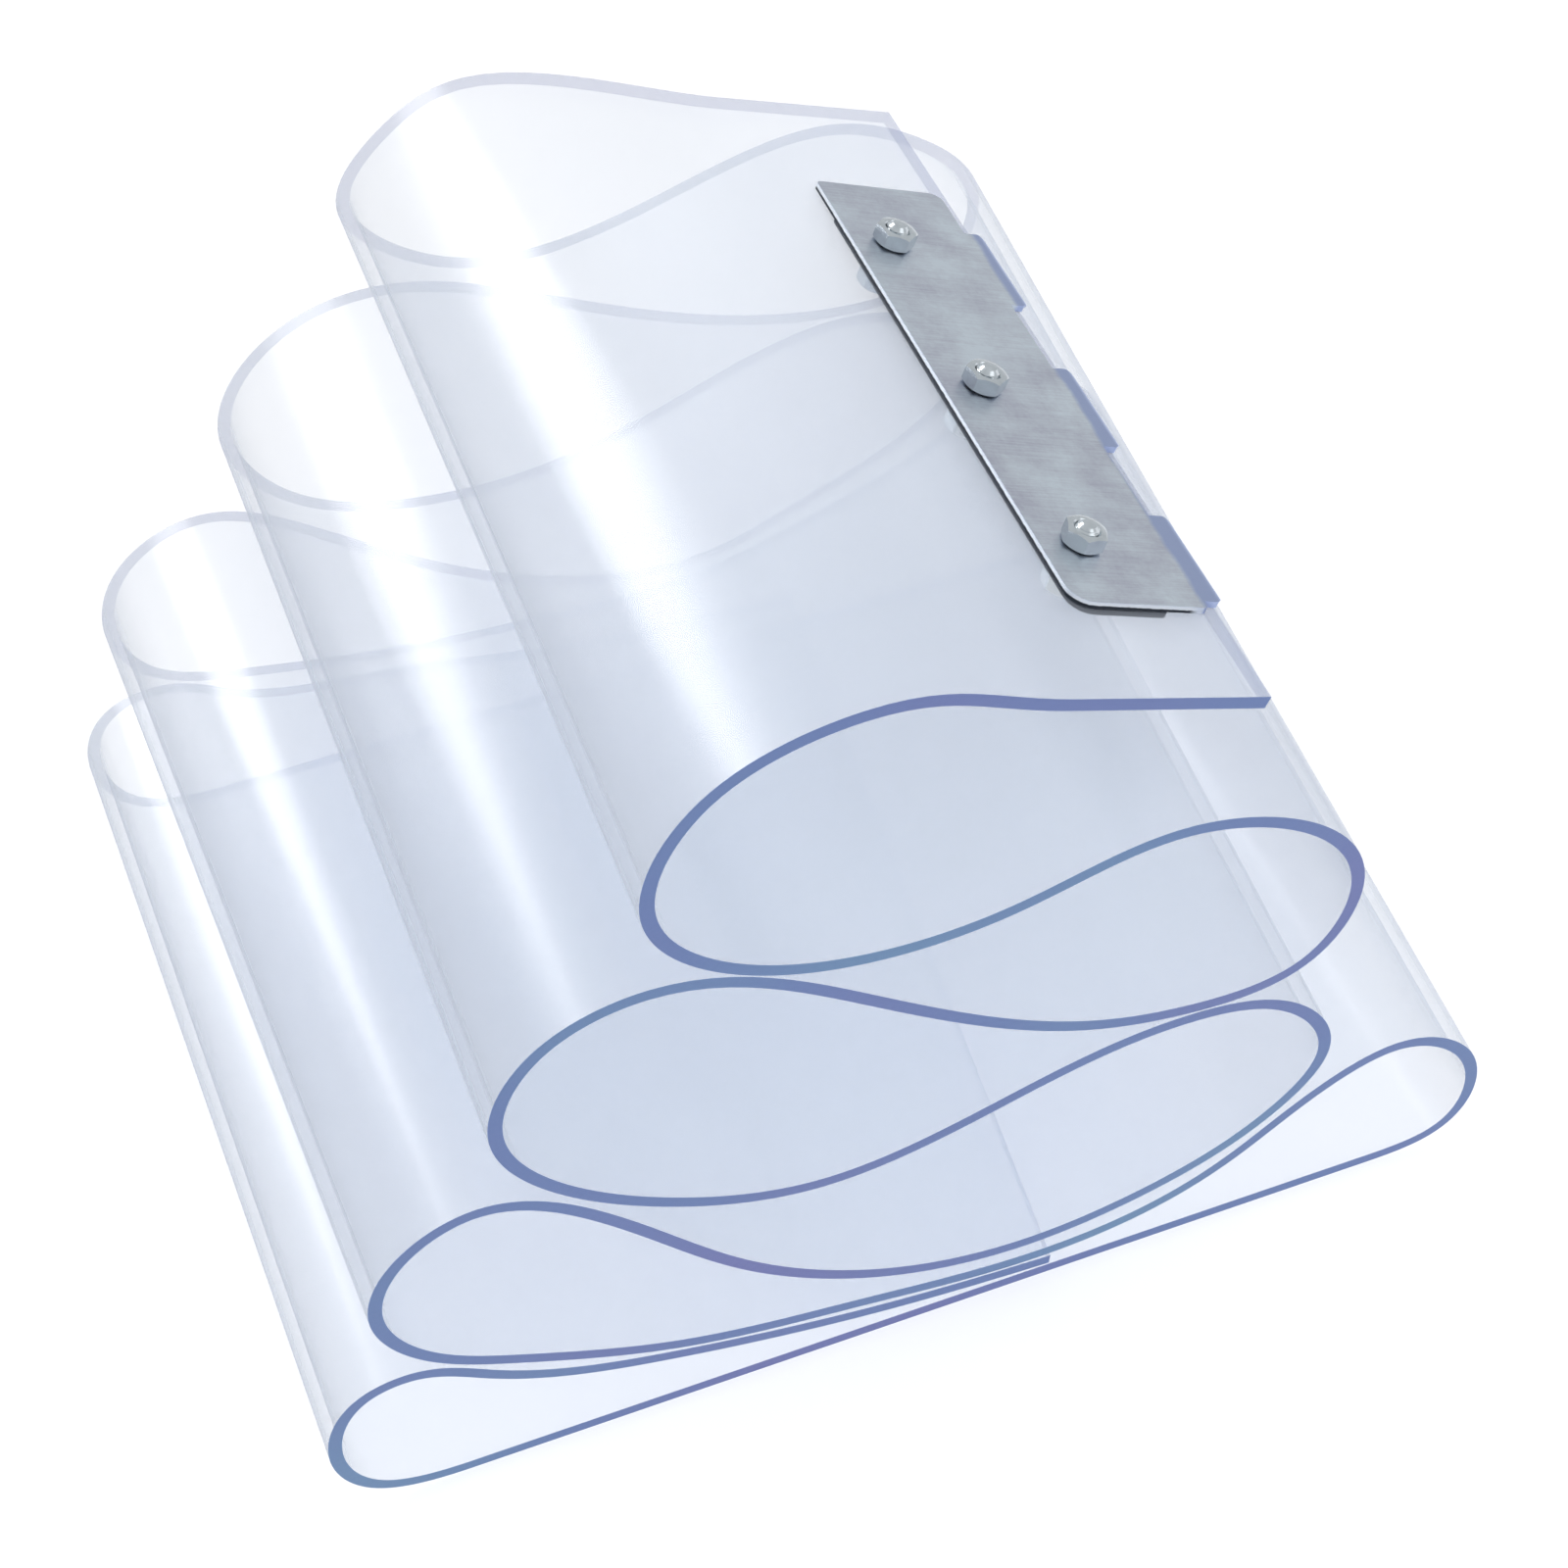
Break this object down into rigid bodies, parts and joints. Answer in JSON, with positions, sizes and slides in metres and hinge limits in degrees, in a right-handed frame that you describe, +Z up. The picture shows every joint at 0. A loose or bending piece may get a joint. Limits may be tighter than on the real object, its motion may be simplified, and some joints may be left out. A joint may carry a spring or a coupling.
{
  "type": "pvc strip curtain",
  "caption": "One clear flexible PVC curtain strip, folded zigzag into a loose pile, with a stainless hook clamp bolted across its free end.",
  "frame": {"origin": "middle of the pile's footprint, on the surface it lies on", "axes": "+X across the folds towards the free end, +Y along the folds from the front edge of the strip to the back, +Z up"},
  "size_m": [0.2696, 0.2, 0.2126],
  "materials": {
    "clear_pvc": "clear flexible PVC with a faint blue tint, glossy faces and darker cut edges",
    "brushed_plate": "brushed stainless sheet",
    "counter_plate": "brushed stainless sheet",
    "bolt": "bright stainless",
    "nut": "bright stainless"
  },
  "bodies": {
    "root": {"pvc_strip": "clear_pvc", "hook_plate": "brushed_plate", "counter_plate": "counter_plate", "bolt_1": "bolt", "bolt_2": "bolt", "bolt_3": "bolt", "nut_1": "nut", "nut_2": "nut", "nut_3": "nut"}
  },
  "joints": []
}
